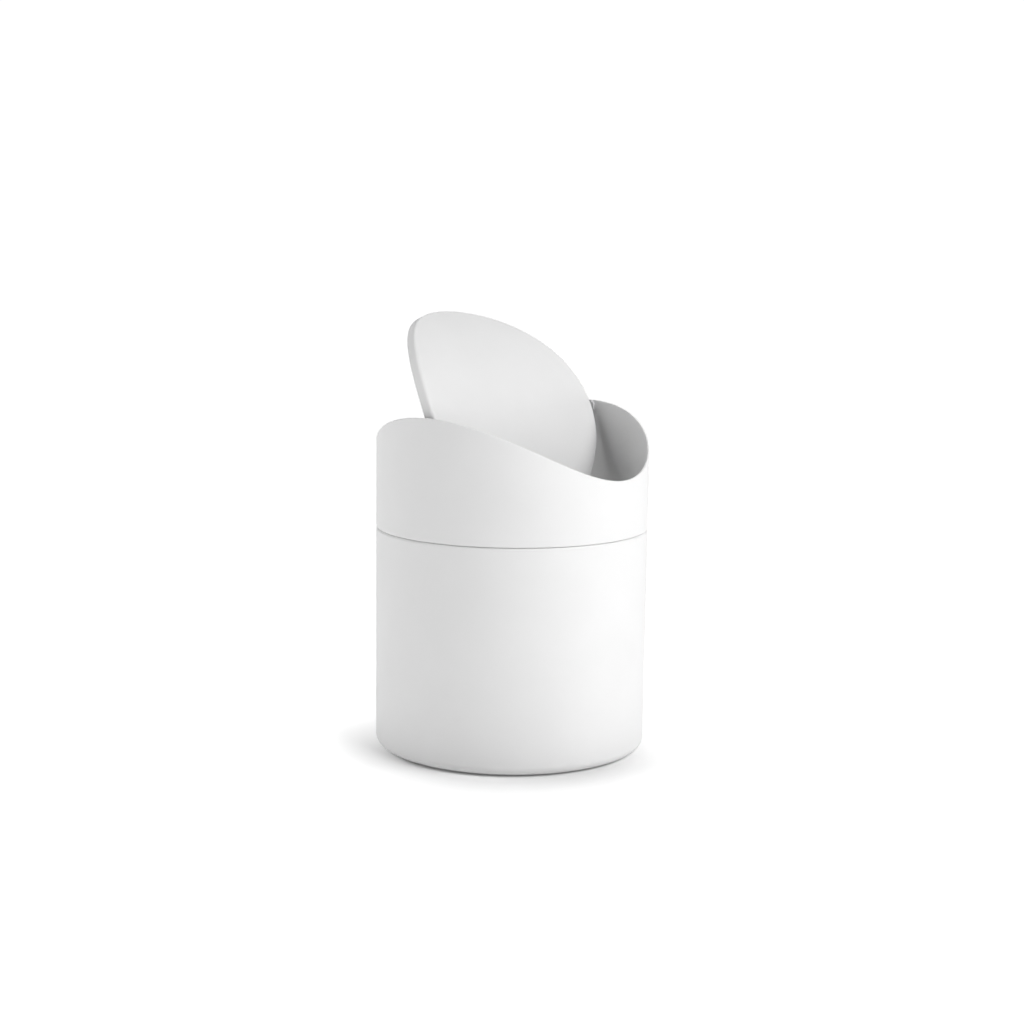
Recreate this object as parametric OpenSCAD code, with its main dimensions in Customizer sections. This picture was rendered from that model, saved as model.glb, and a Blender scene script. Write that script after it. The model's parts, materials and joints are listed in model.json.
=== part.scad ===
// Small table-top waste bin with a swing lid.
// A powder-coated steel bucket carries a lift-off collar, and an arched lid swings on two pins in the collar.
// Millimetres, +Z up. The origin is the centre of the underside. The lid turns about an axis along X,
// so the rim is highest at -X and +X and lowest at -Y and +Y.

/* [Overall size] */
// Outside diameter of the bucket and the collar
outer_d = 120; // [100:1:150]
// Height of the joint between the bucket and the collar
seam_z = 98; // [80:1:130]
// Height of the collar from the joint to its highest point
collar_h = 52; // [48:1:70]
// How far the rim falls from its highest to its lowest point
rim_drop = 27; // [18:0.5:34]

/* [Sheet metal] */
// Thickness of the coated steel sheet
sheet_t = 0.8; // [0.6:0.1:1.2]
// Outside radius of the corner between the wall and the base
corner_r = 3.4; // [2.5:0.1:5]
// Outside radius of the curled hem at the mouth of the bucket
hem_r = 1.3; // [1.1:0.1:1.6]
// Height of the inner leg of the hem
hem_leg = 2.2; // [1:0.1:4]
// Width of the inward lip that carries the floor
lip_w = 4; // [3:0.5:8]

/* [Floor and pad] */
// Radial gap between the floor and the wall's corner
floor_gap = 0.2; // [0.1:0.1:0.5]
// Height that the middle of the floor is pressed up
floor_rise = 1.2; // [0.5:0.1:2]
// Radius at which the pressed step of the floor starts
floor_step_r = 46; // [30:1:48]
// Width of the pressed step of the floor
floor_step_w = 1.8; // [1.5:0.1:4]
// Radial gap between the pad and the lip
pad_gap = 0.3; // [0.1:0.1:1]
// Thickness of the non-slip pad
pad_t = 1.4; // [1:0.1:2]
// How far the pad stands below the wall
pad_proud = 0.6; // [0.3:0.1:0.8]

/* [Neck ring] */
// Depth that the neck ring reaches into the bucket
neck_depth = 7.5; // [5:0.5:12]
// Height of the part of the neck ring that is welded inside the collar
neck_weld_h = 7; // [4:0.5:10]
// Radial clearance between the neck ring and the hem
neck_clear = 0.1; // [0.05:0.01:0.3]

/* [Lid] */
// Radial gap between the lid and the inside of the collar
lid_gap = 2.7; // [2.5:0.1:4]
// Radius of the arch that the lid is curved to
lid_arch_r = 84; // [78:1:110]
// Depth of the turned-down edge of the lid
flange_h = 5; // [5:0.1:6]
// How far the lid stands open, measured from closed
lid_open = 66; // [0:1:85]

/* [Pivots] */
// Depth of the pivot axis below the top of the lid
pivot_drop = 2.8; // [2.7:0.1:3]
// Diameter of the round boss on the collar
boss_d = 5.5; // [5:0.1:5.5]
// Thickness of the boss
boss_t = 1.5; // [1:0.1:1.6]
// Diameter of the pivot pin
pin_d = 2.3; // [2:0.1:2.4]
// Radial clearance between the pin and its bush
pin_clear = 0.05; // [0.02:0.01:0.1]
// Wall thickness of the nylon bush
bush_t = 0.5; // [0.4:0.05:0.55]
// How far the bush stands out of the lid's edge
bush_proud = 0.4; // [0.2:0.1:0.6]
// Diameter of the collar on the inner end of the bush
bush_flange_d = 4.2; // [4:0.1:4.4]
// Thickness of that collar
bush_flange_t = 1; // [0.6:0.1:1.5]
// Diameter of the pin's head
head_d = 3.6; // [3.4:0.1:3.8]
// Thickness of the pin's head
head_t = 1; // [0.8:0.1:1.5]
// End play between the pin's head and the bush
head_play = 0.3; // [0.1:0.1:0.5]
// Gap between the pressed-in end of the pin and the wall of the collar
pin_end_gap = 0.1; // [0.1:0.1:0.3]

/* [Hidden] */
$fn = 96;
body_fn = 180;

outer_r = outer_d / 2;
inner_r = outer_r - sheet_t;
mouth_r = outer_r - 2 * hem_r;
rim_top_z = seam_z + collar_h;
// Radius of the level cylinder that shapes the rim: it falls rim_drop over outer_r
rim_arch_r = (outer_r * outer_r + rim_drop * rim_drop) / (2 * rim_drop);
wall_bottom_z = pad_proud;
floor_z = wall_bottom_z + sheet_t;
lip_inner_r = outer_r - corner_r - lip_w;
floor_r = outer_r - corner_r - floor_gap;
pad_r = lip_inner_r - pad_gap;
neck_r = mouth_r - neck_clear;
lid_r = inner_r - lid_gap;
lid_top_z = rim_top_z;
pivot_z = lid_top_z - pivot_drop;
bush_r = pin_d / 2 + pin_clear + bush_t;
bush_end_x = lid_r + bush_proud;
bush_flange_x = lid_r - sheet_t - bush_flange_t;
boss_face_x = inner_r - boss_t;
head_x = bush_flange_x - head_play - head_t;
pin_end_x = inner_r - pin_end_gap;
// Length of the level cylinders, well past both sides of the bin
level_len = 2 * outer_d;
// How far a cut runs past the face that it opens
cut_over = 1;

coat_white = "white";
coat_shade = "gainsboro";

// A level cylinder along X whose top line is at height top_z
module level_cylinder(r, top_z) {
    translate([-level_len / 2, 0, top_z - r])
        rotate([0, 90, 0])
            cylinder(r = r, h = level_len);
}

// One quarter or half of a bent sheet, seen in section, about the bend's own centre
module bend_section(r, clip_x, clip_y, clip_w, clip_h) {
    intersection() {
        difference() {
            circle(r = r);
            circle(r = r - sheet_t);
        }
        translate([clip_x, clip_y]) square([clip_w, clip_h]);
    }
}

// Turns a closed-position lid piece to the angle at which the lid stands
module on_lid() {
    translate([0, 0, pivot_z]) rotate([lid_open, 0, 0]) translate([0, 0, -pivot_z]) children();
}

// Puts a shape drawn at +X on one side: side is 1 for +X and -1 for -X
module on_side(side) {
    if (side > 0) children();
    else mirror([1, 0, 0]) children();
}

// A rod along X on the pivot axis, from x0 to x1
module pivot_rod(d, x0, x1) {
    translate([x0, 0, pivot_z]) rotate([0, 90, 0]) cylinder(d = d, h = x1 - x0);
}

// Wall of the bucket: bottom lip, round corner, straight wall and curled hem in one revolved section
module bucket_wall() {
    corner_z = wall_bottom_z + corner_r;
    hem_z = seam_z - hem_r;
    color(coat_white) rotate_extrude($fn = body_fn) {
        translate([outer_r - corner_r, corner_z])
            bend_section(corner_r, 0, -corner_r, corner_r, corner_r);
        translate([lip_inner_r, wall_bottom_z]) square([lip_w, sheet_t]);
        translate([inner_r, corner_z]) square([sheet_t, hem_z - corner_z]);
        translate([outer_r - hem_r, hem_z]) bend_section(hem_r, -hem_r, 0, 2 * hem_r, hem_r);
        translate([mouth_r, hem_z - hem_leg]) square([sheet_t, hem_leg]);
    }
}

// Floor of the bucket: a disc with its middle pressed up, lying on the lip
module bucket_floor() {
    color(coat_shade) rotate_extrude($fn = body_fn)
        polygon([
            [0, floor_z + floor_rise],
            [floor_step_r - floor_step_w, floor_z + floor_rise],
            [floor_step_r, floor_z],
            [floor_r, floor_z],
            [floor_r, floor_z + sheet_t],
            [floor_step_r + sheet_t / 2, floor_z + sheet_t],
            [floor_step_r - floor_step_w + sheet_t / 2, floor_z + floor_rise + sheet_t],
            [0, floor_z + floor_rise + sheet_t]
        ]);
}

// Non-slip pad inside the lip, standing just proud of the wall
module base_pad() {
    color("dimgray") cylinder(r = pad_r, h = pad_t, $fn = body_fn);
}

// Wall of the collar: a tube whose top follows a level cylinder
module collar_wall() {
    $fn = body_fn;
    color(coat_white) intersection() {
        translate([0, 0, seam_z])
            difference() {
                cylinder(r = outer_r, h = collar_h + cut_over);
                translate([0, 0, -cut_over]) cylinder(r = inner_r, h = collar_h + 3 * cut_over);
            }
        level_cylinder(rim_arch_r, rim_top_z);
    }
}

// Neck ring: welded inside the collar, stepped inwards over the hem and down into the bucket
module collar_neck_ring() {
    color(coat_shade) rotate_extrude($fn = body_fn) {
        translate([neck_r - sheet_t, seam_z - neck_depth]) square([sheet_t, neck_depth + sheet_t]);
        translate([neck_r - sheet_t, seam_z]) square([inner_r - neck_r + sheet_t, sheet_t]);
        translate([inner_r - sheet_t, seam_z]) square([sheet_t, neck_weld_h]);
    }
}

// Round boss on the inside of the collar, bored for the pin
module pivot_boss(side) {
    color("lightgray") on_side(side) difference() {
        intersection() {
            pivot_rod(boss_d, boss_face_x, outer_r);
            cylinder(r = inner_r, h = rim_top_z, $fn = body_fn);
        }
        pivot_rod(pin_d, boss_face_x - cut_over, outer_r + cut_over);
    }
}

// Headed pivot pin: the head is inside the lid and the end is pressed into the boss
module pivot_pin(side) {
    color("silver") on_side(side) {
        pivot_rod(pin_d, head_x, pin_end_x);
        pivot_rod(head_d, head_x, head_x + head_t);
    }
}

// Lid: an arched round sheet with a turned-down edge, holed at each end for its bushes
module lid_panel() {
    color(coat_white) on_lid() difference() {
        intersection() {
            cylinder(r = lid_r, h = lid_top_z + cut_over, $fn = body_fn);
            level_cylinder(lid_arch_r, lid_top_z, $fn = body_fn);
        }
        level_cylinder(lid_arch_r, lid_top_z - flange_h, $fn = body_fn);
        intersection() {
            cylinder(r = lid_r - sheet_t, h = lid_top_z + cut_over, $fn = body_fn);
            level_cylinder(lid_arch_r - sheet_t, lid_top_z - sheet_t, $fn = body_fn);
        }
        pivot_rod(2 * bush_r, -outer_r, outer_r);
    }
}

// Nylon bush pressed into the turned-down edge of the lid
module lid_bush(side) {
    color("whitesmoke") on_lid() on_side(side) difference() {
        union() {
            pivot_rod(2 * bush_r, bush_flange_x, bush_end_x);
            intersection() {
                pivot_rod(bush_flange_d, bush_flange_x, lid_r);
                cylinder(r = lid_r - sheet_t, h = lid_top_z + cut_over, $fn = body_fn);
                level_cylinder(lid_arch_r - sheet_t, lid_top_z - sheet_t, $fn = body_fn);
            }
        }
        pivot_rod(pin_d + 2 * pin_clear, bush_flange_x - cut_over, bush_end_x + cut_over);
    }
}

module pivot_boss_left() { pivot_boss(-1); }
module pivot_boss_right() { pivot_boss(1); }
module pivot_pin_left() { pivot_pin(-1); }
module pivot_pin_right() { pivot_pin(1); }
module lid_bush_left() { lid_bush(-1); }
module lid_bush_right() { lid_bush(1); }

bucket_wall();
bucket_floor();
base_pad();
collar_wall();
collar_neck_ring();
pivot_boss_left();
pivot_boss_right();
pivot_pin_left();
pivot_pin_right();
lid_panel();
lid_bush_left();
lid_bush_right();
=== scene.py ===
"""Looks of the small swing-lid table bin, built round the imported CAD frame.

Every piece is remade here in the place that its CAD node holds: the sheet metal as thin closed
sheets with bent corners and rounded edges, and the bosses, pins, bushes and pad as solids with
rounded edges. Lengths are metres, and the angles in the constants are degrees.
"""

import json
import math

import bmesh
import bpy
from mathutils import Matrix, Quaternion, Vector


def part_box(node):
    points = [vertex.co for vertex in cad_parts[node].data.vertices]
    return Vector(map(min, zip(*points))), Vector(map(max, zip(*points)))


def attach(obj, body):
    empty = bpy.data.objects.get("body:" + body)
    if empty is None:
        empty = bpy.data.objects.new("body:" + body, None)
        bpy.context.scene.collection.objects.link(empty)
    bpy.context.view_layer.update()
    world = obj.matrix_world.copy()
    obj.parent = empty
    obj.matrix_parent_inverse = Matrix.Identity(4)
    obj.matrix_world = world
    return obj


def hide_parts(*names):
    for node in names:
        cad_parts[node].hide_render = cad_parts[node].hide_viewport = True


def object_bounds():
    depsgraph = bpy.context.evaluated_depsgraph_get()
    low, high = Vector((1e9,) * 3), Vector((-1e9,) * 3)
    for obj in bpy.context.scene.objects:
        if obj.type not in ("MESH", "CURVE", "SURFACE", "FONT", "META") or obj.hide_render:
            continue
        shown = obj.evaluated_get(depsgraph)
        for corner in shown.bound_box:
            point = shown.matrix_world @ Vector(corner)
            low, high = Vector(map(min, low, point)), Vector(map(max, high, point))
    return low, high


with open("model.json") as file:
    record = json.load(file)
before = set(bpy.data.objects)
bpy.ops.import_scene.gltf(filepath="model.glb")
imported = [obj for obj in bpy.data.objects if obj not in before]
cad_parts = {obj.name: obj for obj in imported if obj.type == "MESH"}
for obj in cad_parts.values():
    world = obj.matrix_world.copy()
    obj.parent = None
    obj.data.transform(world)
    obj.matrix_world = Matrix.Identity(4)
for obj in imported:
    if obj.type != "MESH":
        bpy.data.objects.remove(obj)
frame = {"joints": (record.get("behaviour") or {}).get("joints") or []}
cad_lo, cad_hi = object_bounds()

MM = 0.001
SEGMENTS = 192          # round the bin
SMALL_SEGMENTS = 48     # round a pin, boss or bush
ARC_STEPS = 6           # along each bent corner
END_STEPS = 6           # round each sheet edge
SUPPORT = 0.25 * MM     # distance from a bend to the loop that keeps the flat beside it flat
RUN_PITCH = 6 * MM      # length of the faces along a straight run
WALL_ROWS = 9           # rows of faces up the collar wall
ARCH_RINGS = 22         # rings of faces from the middle of the lid to its bend
ON_AXIS = 1e-7          # a point nearer to the axis than this lies on it
SHARP_ANGLE = 50        # edges turned more than this are left sharp after a cut

# Sheet sizes that the CAD boxes can't tell
SHEET = 0.8 * MM
CORNER_R = 3.4 * MM
LIP_W = 4 * MM
HEM_R = 1.3 * MM
HEM_LEG = 2.2 * MM
HEM_EASE = 0.01 * MM    # taken off the hem's two bends, so that they don't quite meet
RIM_DROP = 27 * MM
NECK_CLEARANCE = 0.1 * MM
NECK_BEND_R = 0.7 * MM
LID_ARCH_R = 84 * MM
LID_BEND_R = 1.3 * MM
FLANGE_H = 5 * MM
FLANGE_ROWS = (0.15, 0.5, 0.85, 1)
FLOOR_STEP_R = 46 * MM
FLOOR_STEP_W = 1.8 * MM
FLOOR_BEND_R = 1.2 * MM
PAD_EDGE_R = 0.35 * MM

# Pivot sizes that the CAD boxes can't tell
PIN_R = 1.15 * MM
PIN_HEAD_H = 1 * MM
PIN_CLEARANCE = 0.05 * MM
BUSH_WALL = 0.5 * MM
BORE_R = PIN_R + PIN_CLEARANCE
BUSH_R = BORE_R + BUSH_WALL
BUSH_FLANGE_R = 2.1 * MM
BUSH_FLANGE_H = 0.97 * MM
BOSS_SINK = 0.08 * MM   # how far a boss is sunk into the round wall behind it
DRILL_LENGTH = 90 * MM


# ---------------------------------------------------------------- places read from the frame

def radius_of(node):
    lo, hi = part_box(node)
    return max(hi.x, hi.y, -lo.x, -lo.y)


def near_and_far(node):
    """How far the two ends of a pivot's node are from the middle of the bin, the nearer first."""
    lo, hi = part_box(node)
    return sorted((abs(lo.x), abs(hi.x)))


def half_height(node):
    lo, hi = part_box(node)
    return (hi.z - lo.z) / 2


joints = {joint["name"]: joint for joint in frame["joints"]}
pivot = Vector(joints["lid_swing"]["pos_m"])
lid_open = -sum(joints["lid_swing"]["range_deg"]) / 2    # the lid's travel is centred on closed
outer_r = radius_of("bucket_wall")
wall_r = outer_r - SHEET / 2                             # middle of the wall's thickness
wall_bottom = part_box("bucket_wall")[0].z
seam_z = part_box("collar_wall")[0].z
rim_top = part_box("collar_wall")[1].z
rim_arch_r = (outer_r ** 2 + RIM_DROP ** 2) / (2 * RIM_DROP)
lid_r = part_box("lid_panel")[1].x
lid_top = rim_top                                        # of the closed lid


# ---------------------------------------------------------------- sections

def run(start, end):
    """Points from start towards end, without end, with a supporting point close to each end."""
    start, end = Vector(start), Vector(end)
    length = (end - start).length
    count = max(1, round(length / RUN_PITCH))
    places = [i / count for i in range(count)]
    if length > 4 * SUPPORT:
        places += [SUPPORT / length, 1 - SUPPORT / length]
    return [start.lerp(end, t) for t in sorted(places)]


def arc(before, corner, after, radius):
    """Points along the arc that rounds one corner."""
    before, corner, after = Vector(before), Vector(corner), Vector(after)
    a = (before - corner).normalized()
    b = (after - corner).normalized()
    half = a.angle(b) / 2
    start = corner + a * (radius / math.tan(half))
    end = corner + b * (radius / math.tan(half))
    centre = corner + (a + b).normalized() * (radius / math.sin(half))
    turn = (start - centre).angle_signed(end - centre)
    first = start - centre
    points = []
    for i in range(ARC_STEPS + 1):
        angle = -turn * i / ARC_STEPS
        c, s = math.cos(angle), math.sin(angle)
        points.append(centre + Vector((first.x * c - first.y * s, first.x * s + first.y * c)))
    return points


def bent_path(corners, radii):
    """An open path through corners, each inner corner rounded to its radius."""
    points = [Vector(corners[0])]
    for before, corner, after, radius in zip(corners, corners[1:], corners[2:], radii):
        bend = arc(before, corner, after, radius)
        points = points[:-1] + run(points[-1], bend[0]) + bend
    return points[:-1] + run(points[-1], corners[-1]) + [Vector(corners[-1])]


def thicken(path, thickness=SHEET):
    """The closed outline of a sheet whose middle follows path, with round ends off the axis."""
    half = thickness / 2
    normals = []
    for i, point in enumerate(path):
        ahead = path[min(i + 1, len(path) - 1)] - path[max(i - 1, 0)]
        normals.append(Vector((-ahead.y, ahead.x)).normalized())
    left = [p + n * half for p, n in zip(path, normals)]
    right = [p - n * half for p, n in zip(path, normals)]

    def end_cap(point, normal, side):
        along = Vector((normal.y, -normal.x)) * side
        return [
            point + (normal * side * math.cos(a) + along * math.sin(a)) * half
            for a in [math.pi * i / END_STEPS for i in range(1, END_STEPS)]
        ]

    cap_end = end_cap(path[-1], normals[-1], 1)
    on_axis = path[0].x < ON_AXIS
    cap_start = [] if on_axis else end_cap(path[0], normals[0], -1)
    return left + cap_end + right[::-1] + cap_start


def round_outline(corners, radii):
    """A closed outline off the axis, or an open one from axis to axis, with its corners rounded."""
    if corners[0][0] < ON_AXIS:
        return bent_path(corners, radii)
    last = Vector(corners[-1])
    start = last.lerp(Vector(corners[0]), 0.5)
    loop = [start] + [Vector(c) for c in corners] + [start]
    return bent_path(loop, radii)[:-1]


def inset_path(path, amount):
    """path with its two ends pulled in, so that round ends stay inside the sheet's true length."""
    first = (path[1] - path[0]).normalized() * amount
    last = (path[-2] - path[-1]).normalized() * amount
    return [path[0] + first] + path[1:-1] + [path[-1] + last]


# ---------------------------------------------------------------- meshes

def new_object(name, data):
    thing = bpy.data.objects.new(name, data)
    bpy.context.scene.collection.objects.link(thing)
    return thing


def spin(name, section_at, segments=SEGMENTS, place=None):
    """A closed solid from the (radius, height) outline that section_at gives at each angle."""
    mesh = bmesh.new()
    rings = []
    poles = {}
    for i in range(segments):
        angle = 2 * math.pi * i / segments
        ring = []
        for j, (r, z) in enumerate(section_at(angle)):
            if r < ON_AXIS:
                if j not in poles:
                    poles[j] = mesh.verts.new((0, 0, z))
                ring.append(poles[j])
            else:
                ring.append(mesh.verts.new((r * math.cos(angle), r * math.sin(angle), z)))
        rings.append(ring)
    for i, ring in enumerate(rings):
        following = rings[(i + 1) % segments]
        for j in range(len(ring)):
            k = (j + 1) % len(ring)
            corners = []
            for vert in (ring[j], following[j], following[k], ring[k]):
                if vert not in corners:
                    corners.append(vert)
            if len(corners) > 2:
                mesh.faces.new(corners)
    bmesh.ops.recalc_face_normals(mesh, faces=mesh.faces)
    data = bpy.data.meshes.new(name)
    mesh.to_mesh(data)
    mesh.free()
    if place is not None:
        data.transform(place)
    data.shade_smooth()
    return new_object(name, data)


def cut(piece, cutters):
    """Cuts the cutters out of piece and removes them."""
    for cutter in cutters:
        modifier = piece.modifiers.new("cut", "BOOLEAN")
        modifier.operation = "DIFFERENCE"
        modifier.solver = "EXACT"
        modifier.object = cutter
    bpy.context.view_layer.update()
    evaluated = piece.evaluated_get(bpy.context.evaluated_depsgraph_get())
    done = bpy.data.meshes.new_from_object(evaluated)
    piece.modifiers.clear()
    piece.data = done
    for cutter in cutters:
        bpy.data.objects.remove(cutter)
    piece.data.shade_smooth()
    piece.data.set_sharp_from_angle(angle=math.radians(SHARP_ANGLE))


def along_x(side):
    """Turns a shape made round Z into one round the pivot axis, pointing to +X or -X."""
    turn = Matrix.Rotation(math.radians(90 * side), 4, "Y")
    return Matrix.Translation((0, 0, pivot.z)) @ turn


def opened():
    """Turns a lid piece from closed to the angle at which the lid stands."""
    about = Matrix.Translation(pivot)
    return about @ Matrix.Rotation(math.radians(lid_open), 4, "X") @ about.inverted()


# ---------------------------------------------------------------- bucket

def make_bucket_wall():
    bottom = wall_bottom + SHEET / 2
    lip_inner = outer_r - CORNER_R - LIP_W
    hem_inner = outer_r - 2 * HEM_R + SHEET / 2
    hem_top = seam_z - SHEET / 2
    hem_end = seam_z - HEM_R - HEM_LEG
    hem_bend = HEM_R - SHEET / 2 - HEM_EASE
    path = bent_path(
        [
            (lip_inner, bottom),
            (wall_r, bottom),
            (wall_r, hem_top),
            (hem_inner, hem_top),
            (hem_inner, hem_end),
        ],
        [CORNER_R - SHEET / 2, hem_bend, hem_bend],
    )
    outline = thicken(inset_path(path, SHEET / 2))
    return spin("bucket_wall_sheet", lambda angle: outline)


def make_bucket_floor():
    lo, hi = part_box("bucket_floor")
    low = lo.z + SHEET / 2
    high = hi.z - SHEET / 2
    path = bent_path(
        [
            (0, high),
            (FLOOR_STEP_R - FLOOR_STEP_W, high),
            (FLOOR_STEP_R, low),
            (radius_of("bucket_floor"), low),
        ],
        [FLOOR_BEND_R, FLOOR_BEND_R],
    )
    path[-1] -= Vector((SHEET / 2, 0))
    outline = thicken(path)
    return spin("bucket_floor_sheet", lambda angle: outline)


def make_base_pad():
    lo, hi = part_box("base_pad")
    r = radius_of("base_pad")
    corners = [(0, lo.z), (r, lo.z), (r, hi.z), (0, hi.z)]
    outline = round_outline(corners, [PAD_EDGE_R, PAD_EDGE_R])
    return spin("base_pad_foam", lambda angle: outline)


# ---------------------------------------------------------------- collar

def rim_height(angle):
    """Height of the rim: it follows a level cylinder along X."""
    across = wall_r * math.sin(angle)
    return rim_top - rim_arch_r + math.sqrt(rim_arch_r ** 2 - across ** 2)


def make_collar_wall():
    def section(angle):
        bottom = seam_z + SHEET / 2
        top = rim_height(angle) - SHEET / 2
        heights = [bottom + (top - bottom) * i / WALL_ROWS for i in range(WALL_ROWS + 1)]
        heights[1:1] = [bottom + SUPPORT]
        heights[-1:-1] = [top - SUPPORT]
        return thicken([Vector((wall_r, z)) for z in heights])

    return spin("collar_wall_sheet", section)


def make_neck_ring():
    lo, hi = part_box("collar_neck_ring")
    inner = outer_r - 2 * HEM_R - NECK_CLEARANCE - SHEET / 2
    upper = outer_r - 1.5 * SHEET
    step = seam_z + SHEET / 2
    corners = [(inner, lo.z), (inner, step), (upper, step), (upper, hi.z)]
    path = bent_path(corners, [NECK_BEND_R, NECK_BEND_R])
    outline = thicken(inset_path(path, SHEET / 2))
    return spin("collar_neck_ring_sheet", lambda angle: outline)


# ---------------------------------------------------------------- lid

def make_lid_panel():
    arch_r = LID_ARCH_R - SHEET / 2
    edge_r = lid_r - SHEET / 2

    def arch(r, angle, radius=arch_r):
        return lid_top - LID_ARCH_R + math.sqrt(radius ** 2 - (r * math.sin(angle)) ** 2)

    def section(angle):
        corner = Vector((edge_r, arch(edge_r, angle)))
        across = edge_r * math.sin(angle)
        slope = -edge_r * math.sin(angle) ** 2 / math.sqrt(arch_r ** 2 - across ** 2)
        inward = corner - Vector((1, slope)) * FLANGE_H    # any point on that line would do
        foot = Vector((edge_r, arch(edge_r, angle, LID_ARCH_R) - FLANGE_H + SHEET / 2))
        bend = arc(inward, corner, foot, LID_BEND_R - SHEET / 2)
        last = bend[0].x
        radii = [last * i / ARCH_RINGS for i in range(ARCH_RINGS)] + [last - SUPPORT]
        sheet = [Vector((r, arch(r, angle))) for r in radii]
        flange = [bend[-1].lerp(foot, t) for t in FLANGE_ROWS]
        return thicken(sheet + bend + flange)

    panel = spin("lid_panel_sheet", section)
    drill = [(0, 0), (BUSH_R, 0), (BUSH_R, DRILL_LENGTH), (0, DRILL_LENGTH)]
    drills = [
        spin(f"drill_{side}", lambda angle: drill, SMALL_SEGMENTS, along_x(side))
        for side in (-1, 1)
    ]
    cut(panel, drills)
    panel.data.transform(opened())
    return panel


# ---------------------------------------------------------------- pivots

def make_boss(side):
    name = "pivot_boss_right" if side > 0 else "pivot_boss_left"
    face, back = near_and_far(name)
    back += BOSS_SINK
    r = half_height(name)
    bore_edge = 0.12 * MM
    face_edge = 0.3 * MM
    back_edge = 0.05 * MM
    outline = round_outline(
        [(PIN_R, face), (r, face), (r, back), (PIN_R, back)],
        [bore_edge, face_edge, back_edge, back_edge],
    )
    return spin(name + "_turned", lambda angle: outline, SMALL_SEGMENTS, along_x(side))


def make_pin(side):
    name = "pivot_pin_right" if side > 0 else "pivot_pin_left"
    start, end = near_and_far(name)
    head_r = half_height(name)
    neck = start + PIN_HEAD_H
    head_dome = 0.5 * MM
    head_back = 0.15 * MM
    neck_fillet = 0.1 * MM
    tip_edge = 0.2 * MM
    outline = round_outline(
        [(0, start), (head_r, start), (head_r, neck), (PIN_R, neck), (PIN_R, end), (0, end)],
        [head_dome, head_back, neck_fillet, tip_edge],
    )
    return spin(name + "_turned", lambda angle: outline, SMALL_SEGMENTS, along_x(side))


def make_bush(side):
    name = "lid_bush_right" if side > 0 else "lid_bush_left"
    start, end = near_and_far(name)
    shoulder = start + BUSH_FLANGE_H
    bore_edge = 0.1 * MM
    flange_edge = 0.25 * MM
    flange_back = 0.1 * MM
    neck_fillet = 0.08 * MM
    tip_edge = 0.15 * MM
    outline = round_outline(
        [
            (BORE_R, start),
            (BUSH_FLANGE_R, start),
            (BUSH_FLANGE_R, shoulder),
            (BUSH_R, shoulder),
            (BUSH_R, end),
            (BORE_R, end),
        ],
        [bore_edge, flange_edge, flange_back, neck_fillet, tip_edge, bore_edge],
    )
    turn = opened() @ along_x(side)
    return spin(name + "_moulded", lambda angle: outline, SMALL_SEGMENTS, turn)


# ---------------------------------------------------------------- materials

class Nodes:
    """Short calls for building one node material."""

    def __init__(self, name):
        self.material = bpy.data.materials.new(name)
        self.material.use_nodes = True
        self.tree = self.material.node_tree
        self.shader = self.tree.nodes["Principled BSDF"]
        self.place = self.add("ShaderNodeTexCoord").outputs["Object"]

    def add(self, kind, **settings):
        node = self.tree.nodes.new(kind)
        for key, value in settings.items():
            if key in node.inputs:
                self.set(node.inputs[key], value)
            else:
                setattr(node, key, value)
        return node

    def set(self, socket, value):
        if isinstance(value, bpy.types.NodeSocket):
            self.tree.links.new(value, socket)
        else:
            socket.default_value = value

    def shade(self, **settings):
        for key, value in settings.items():
            self.set(self.shader.inputs[key.replace("_", " ")], value)

    def noise(self, size, detail=2.0, stretch=(1, 1, 1)):
        """Noise whose features are about size metres across."""
        scaled = self.add("ShaderNodeMapping", Vector=self.place, Scale=stretch).outputs[0]
        node = self.add("ShaderNodeTexNoise", Vector=scaled, Scale=1 / size, Detail=detail)
        return node.outputs[0]

    def cells(self, size):
        """Closed cells about size metres across, 0 in the middle of each."""
        node = self.add("ShaderNodeTexVoronoi", Vector=self.place, Scale=1 / size)
        return node.outputs["Distance"]

    def between(self, value, low, high, start=0.3, end=0.7):
        """value carried from start..end to low..high."""
        node = self.add("ShaderNodeMapRange", Value=value)
        node.inputs["From Min"].default_value = start
        node.inputs["From Max"].default_value = end
        node.inputs["To Min"].default_value = low
        node.inputs["To Max"].default_value = high
        return node.outputs[0]

    def colours(self, factor, first, second):
        node = self.add("ShaderNodeMix", data_type="RGBA")
        self.set(node.inputs[0], factor)
        self.set(node.inputs[6], (*first, 1))
        self.set(node.inputs[7], (*second, 1))
        return node.outputs[2]

    def bump(self, height, depth, strength=1.0, below=None):
        node = self.add("ShaderNodeBump", Height=height, Distance=depth, Strength=strength)
        if below is not None:
            self.set(node.inputs["Normal"], below)
        return node.outputs[0]


def powder_coat(name, light, dark, rough=0.5):
    """Satin powder coat: fine orange peel and grain, and a slow drift in tone."""
    n = Nodes(name)
    drift = n.noise(30 * MM, detail=3.0)
    peel = n.noise(0.9 * MM, detail=1.5)
    grain = n.noise(0.22 * MM, detail=2.0)
    tone = n.colours(n.between(drift, 0.0, 1.0), light, dark)
    skin = n.bump(peel, 0.012 * MM)
    skin = n.bump(grain, 0.005 * MM, below=skin)
    gloss = n.between(peel, rough - 0.04, rough + 0.05)
    n.shade(Base_Color=tone, Roughness=gloss, Normal=skin)
    n.shade(Specular_IOR_Level=0.24, Coat_Weight=0.03, Coat_Roughness=0.34)
    return n.material


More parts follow.
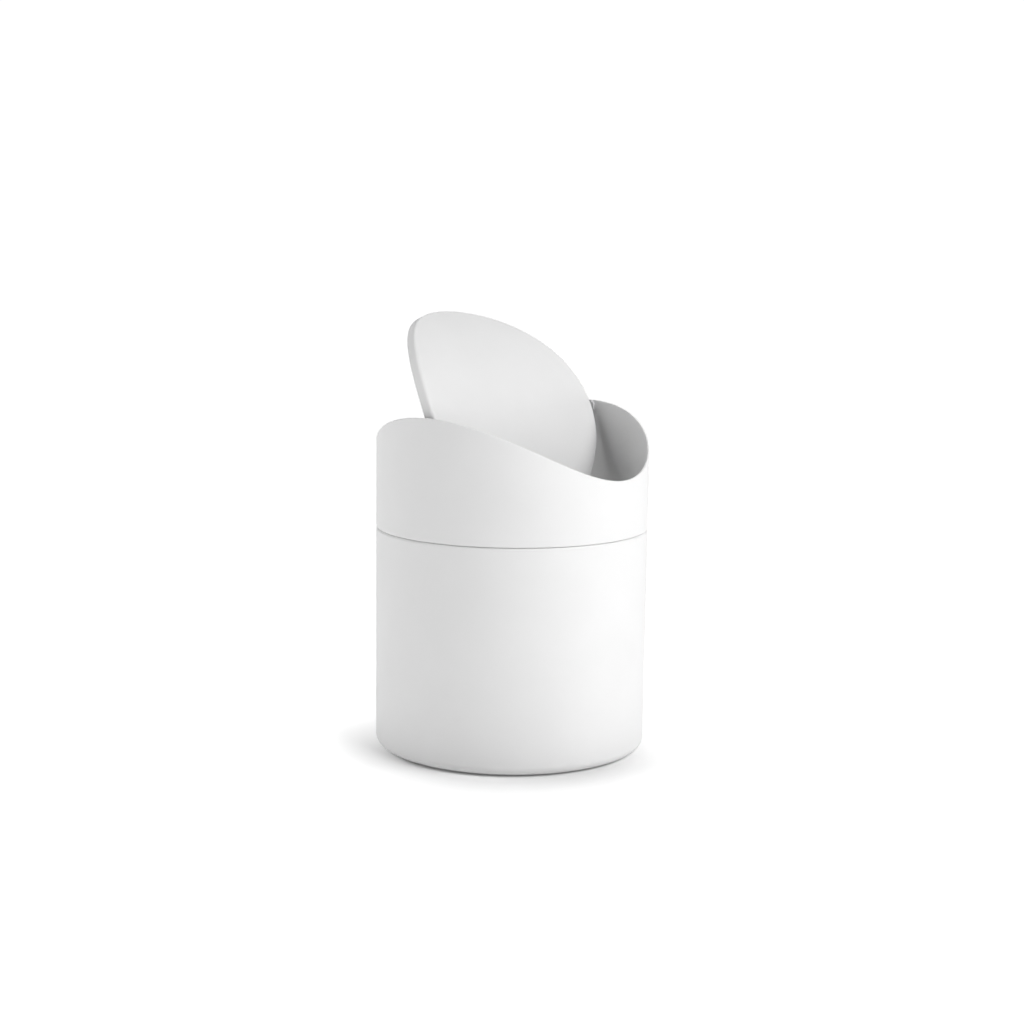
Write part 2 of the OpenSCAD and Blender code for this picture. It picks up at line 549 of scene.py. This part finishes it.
def foam_rubber():
    n = Nodes("foam_rubber")
    cell = n.cells(0.45 * MM)
    mottle = n.noise(4 * MM, detail=3.0)
    tone = n.colours(n.between(mottle, 0.0, 1.0), (0.035, 0.035, 0.036), (0.055, 0.055, 0.056))
    gloss = n.between(cell, 0.75, 0.92, start=0.0, end=0.6)
    n.shade(Base_Color=tone, Roughness=gloss, Normal=n.bump(cell, 0.08 * MM))
    n.shade(Specular_IOR_Level=0.3)
    return n.material


def turned_steel():
    n = Nodes("turned_steel")
    rings = n.noise(0.3 * MM, detail=2.0, stretch=(3, 0.15, 0.15))
    smear = n.noise(1.2 * MM, detail=2.0)
    tone = n.colours(n.between(smear, 0.0, 1.0), (0.62, 0.62, 0.63), (0.5, 0.5, 0.51))
    gloss = n.between(rings, 0.25, 0.42)
    n.shade(Base_Color=tone, Metallic=1.0, Roughness=gloss, Normal=n.bump(rings, 0.01 * MM))
    return n.material


def nylon():
    n = Nodes("nylon")
    cloud = n.noise(1.5 * MM, detail=2.0)
    tone = n.colours(n.between(cloud, 0.0, 1.0), (0.78, 0.775, 0.755), (0.7, 0.695, 0.67))
    grain = n.noise(0.2 * MM)
    gloss = n.between(cloud, 0.4, 0.5)
    n.shade(Base_Color=tone, Roughness=gloss, Normal=n.bump(grain, 0.005 * MM))
    n.shade(Subsurface_Weight=0.15, Subsurface_Scale=0.5 * MM)
    return n.material


def painted_glow_floor():
    """A pale floor that glows though it is no lamp: painted light, which changes with the distance
    from one place on it and is dimmest there, painting a soft shadow round the bin.
    """
    n = Nodes("painted_glow_floor")
    drift = n.noise(80 * MM, detail=2.0)
    tone = n.colours(n.between(drift, 0.0, 1.0), (0.8, 0.8, 0.8), (0.78, 0.78, 0.78))
    away = n.add("ShaderNodeVectorMath", operation="DISTANCE")
    n.set(away.inputs[0], n.place)
    # Painted shadow: the glow is dimmest round this fixed place, a little off the bin's middle
    # towards -X and -Y.
    away.inputs[1].default_value = PAINTED_SHADOW_CENTRE
    glow = PAINTED_SHADOW_GLOW
    for start, end, change in PAINTED_GLOW_STEPS:
        total = n.add("ShaderNodeMath", operation="ADD")
        n.set(total.inputs[0], glow)
        n.set(total.inputs[1], n.between(away.outputs["Value"], 0.0, change, start, end))
        glow = total.outputs[0]
    n.shade(Base_Color=tone, Roughness=0.9, Specular_IOR_Level=0.1)
    # Painted light: the floor's emission whitens the floor and lights the bin from below.
    n.shade(Emission_Color=(1, 1, 1, 1), Emission_Strength=glow)
    return n.material


# ---------------------------------------------------------------- light, floor and camera

# The camera stands in front of the bin, between its -X pivot and its -Y dip
CAMERA_TURN = 217.3       # direction from the bin to the camera, anticlockwise from +X
CAMERA_RISE = 15.6        # height of the camera as an angle at the middle of the underside
CAMERA_FAR = 0.85         # distance from the middle of the underside
CAMERA_PITCH = 8.66       # how far it looks down
CAMERA_ROLL = 0.7
CAMERA_LENS = 65.7        # millimetres, on a sensor as wide as the next number
CAMERA_SENSOR = 36.0
CAMERA_CLIP = (0.01, 100.0)

SKY_SEEN = 1.05           # strength of the white background that the camera sees
SKY_LIGHT = 0.01          # strength at which it lights the bin

# The floor glows though it is no lamp: painted light, which also lights the bin. The glow is least
# under the bin and just in front of it, a painted soft shadow, and most far away. Each step: the
# distances from the painted shadow's centre between which the glow changes, and by how much.
PAINTED_SHADOW_CENTRE = (-0.0175, -0.0133, 0)
PAINTED_SHADOW_GLOW = 0.05
PAINTED_GLOW_STEPS = [(0.045, 0.09, 0.62), (0.16, 0.32, -0.17), (0.4, 2.0, 0.55)]
FLOOR_SIZE = 40.0
FLOOR_TILES = 8
FLOOR_GAP = 0.02 * MM     # the floor lies this far under the bin, so that their faces don't meet

SOFTBOX_FAR = 1.3
SOFTBOX_SIZE = (0.9, 0.9)
SOFTBOX_AIM = (0, 0, 90 * MM)

# Each softbox: name, turn to the right of the camera, height as an angle, watts
SOFTBOXES = [
    ("key", 56, 44, 14.6),
    ("low_key", 56, 5, 1.2),
    ("low_left", -60, 10, 0.6),
    ("high_left", -90, 40, 6.5),
    ("back", 195, 50, 2.5),
]


def direction(turn, rise):
    """The unit vector that points turn degrees round from +X and rise degrees up."""
    turn = math.radians(turn)
    rise = math.radians(rise)
    level = math.cos(rise)
    return Vector((math.cos(turn) * level, math.sin(turn) * level, math.sin(rise)))


def make_camera():
    camera = new_object("camera", bpy.data.cameras.new("camera"))
    camera.location = direction(CAMERA_TURN, CAMERA_RISE) * CAMERA_FAR
    aim = -direction(CAMERA_TURN, CAMERA_PITCH)
    roll = Quaternion((0, 0, 1), math.radians(CAMERA_ROLL))
    camera.rotation_mode = "QUATERNION"
    camera.rotation_quaternion = aim.to_track_quat("-Z", "Y") @ roll
    camera.data.lens = CAMERA_LENS
    camera.data.sensor_width = CAMERA_SENSOR
    camera.data.clip_start, camera.data.clip_end = CAMERA_CLIP
    bpy.context.scene.camera = camera


def make_softbox(name, turn, rise, power):
    light = bpy.data.lights.new(name, "AREA")
    light.shape = "RECTANGLE"
    light.size, light.size_y = SOFTBOX_SIZE
    light.energy = power
    lamp = new_object(name, light)
    back = direction(turn, rise)
    lamp.location = Vector(SOFTBOX_AIM) + back * SOFTBOX_FAR
    lamp.rotation_mode = "QUATERNION"
    lamp.rotation_quaternion = (-back).to_track_quat("-Z", "Y")


def make_world():
    """A background that is white to the eye and nearly dark as a light."""
    world = bpy.data.worlds.new("studio")
    bpy.context.scene.world = world
    world.use_nodes = True
    tree = world.node_tree
    tree.nodes.clear()
    seen = tree.nodes.new("ShaderNodeBackground")
    lit = tree.nodes.new("ShaderNodeBackground")
    seen.inputs["Color"].default_value = (1, 1, 1, 1)
    seen.inputs["Strength"].default_value = SKY_SEEN
    lit.inputs["Color"].default_value = (1, 1, 1, 1)
    lit.inputs["Strength"].default_value = SKY_LIGHT
    path = tree.nodes.new("ShaderNodeLightPath")
    mix = tree.nodes.new("ShaderNodeMixShader")
    out = tree.nodes.new("ShaderNodeOutputWorld")
    tree.links.new(path.outputs["Is Camera Ray"], mix.inputs[0])
    tree.links.new(lit.outputs[0], mix.inputs[1])
    tree.links.new(seen.outputs[0], mix.inputs[2])
    tree.links.new(mix.outputs[0], out.inputs[0])


def make_floor():
    mesh = bmesh.new()
    half = FLOOR_SIZE / 2
    bmesh.ops.create_grid(mesh, x_segments=FLOOR_TILES, y_segments=FLOOR_TILES, size=half)
    data = bpy.data.meshes.new("painted_glow_floor")
    mesh.to_mesh(data)
    mesh.free()
    floor = new_object("painted_glow_floor", data)
    floor.location.z = cad_lo.z - FLOOR_GAP
    data.materials.append(painted_glow_floor())


# ---------------------------------------------------------------- assembly

def finish_piece(piece, body, node, material):
    piece.data.materials.clear()
    piece.data.materials.append(material)
    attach(piece, body)
    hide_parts(node)


make_camera()
make_world()
make_floor()
for name, turn, rise, power in SOFTBOXES:
    make_softbox(name, CAMERA_TURN + turn, rise, power)

white = powder_coat("white_powder_coat", (0.80, 0.80, 0.80), (0.78, 0.78, 0.78))
boss_grey = powder_coat("grey_powder_coat", (0.62, 0.62, 0.63), (0.58, 0.58, 0.59), rough=0.4)
steel = turned_steel()
bush_white = nylon()

finish_piece(make_bucket_wall(), "bucket", "bucket_wall", white)
finish_piece(make_bucket_floor(), "bucket", "bucket_floor", white)
finish_piece(make_base_pad(), "bucket", "base_pad", foam_rubber())
finish_piece(make_collar_wall(), "collar", "collar_wall", white)
finish_piece(make_neck_ring(), "collar", "collar_neck_ring", white)
finish_piece(make_lid_panel(), "lid", "lid_panel", white)
for side, name in ((-1, "left"), (1, "right")):
    finish_piece(make_boss(side), "collar", "pivot_boss_" + name, boss_grey)
    finish_piece(make_pin(side), "collar", "pivot_pin_" + name, steel)
    finish_piece(make_bush(side), "lid", "lid_bush_" + name, bush_white)

bpy.context.scene.view_settings.view_transform = "Standard"
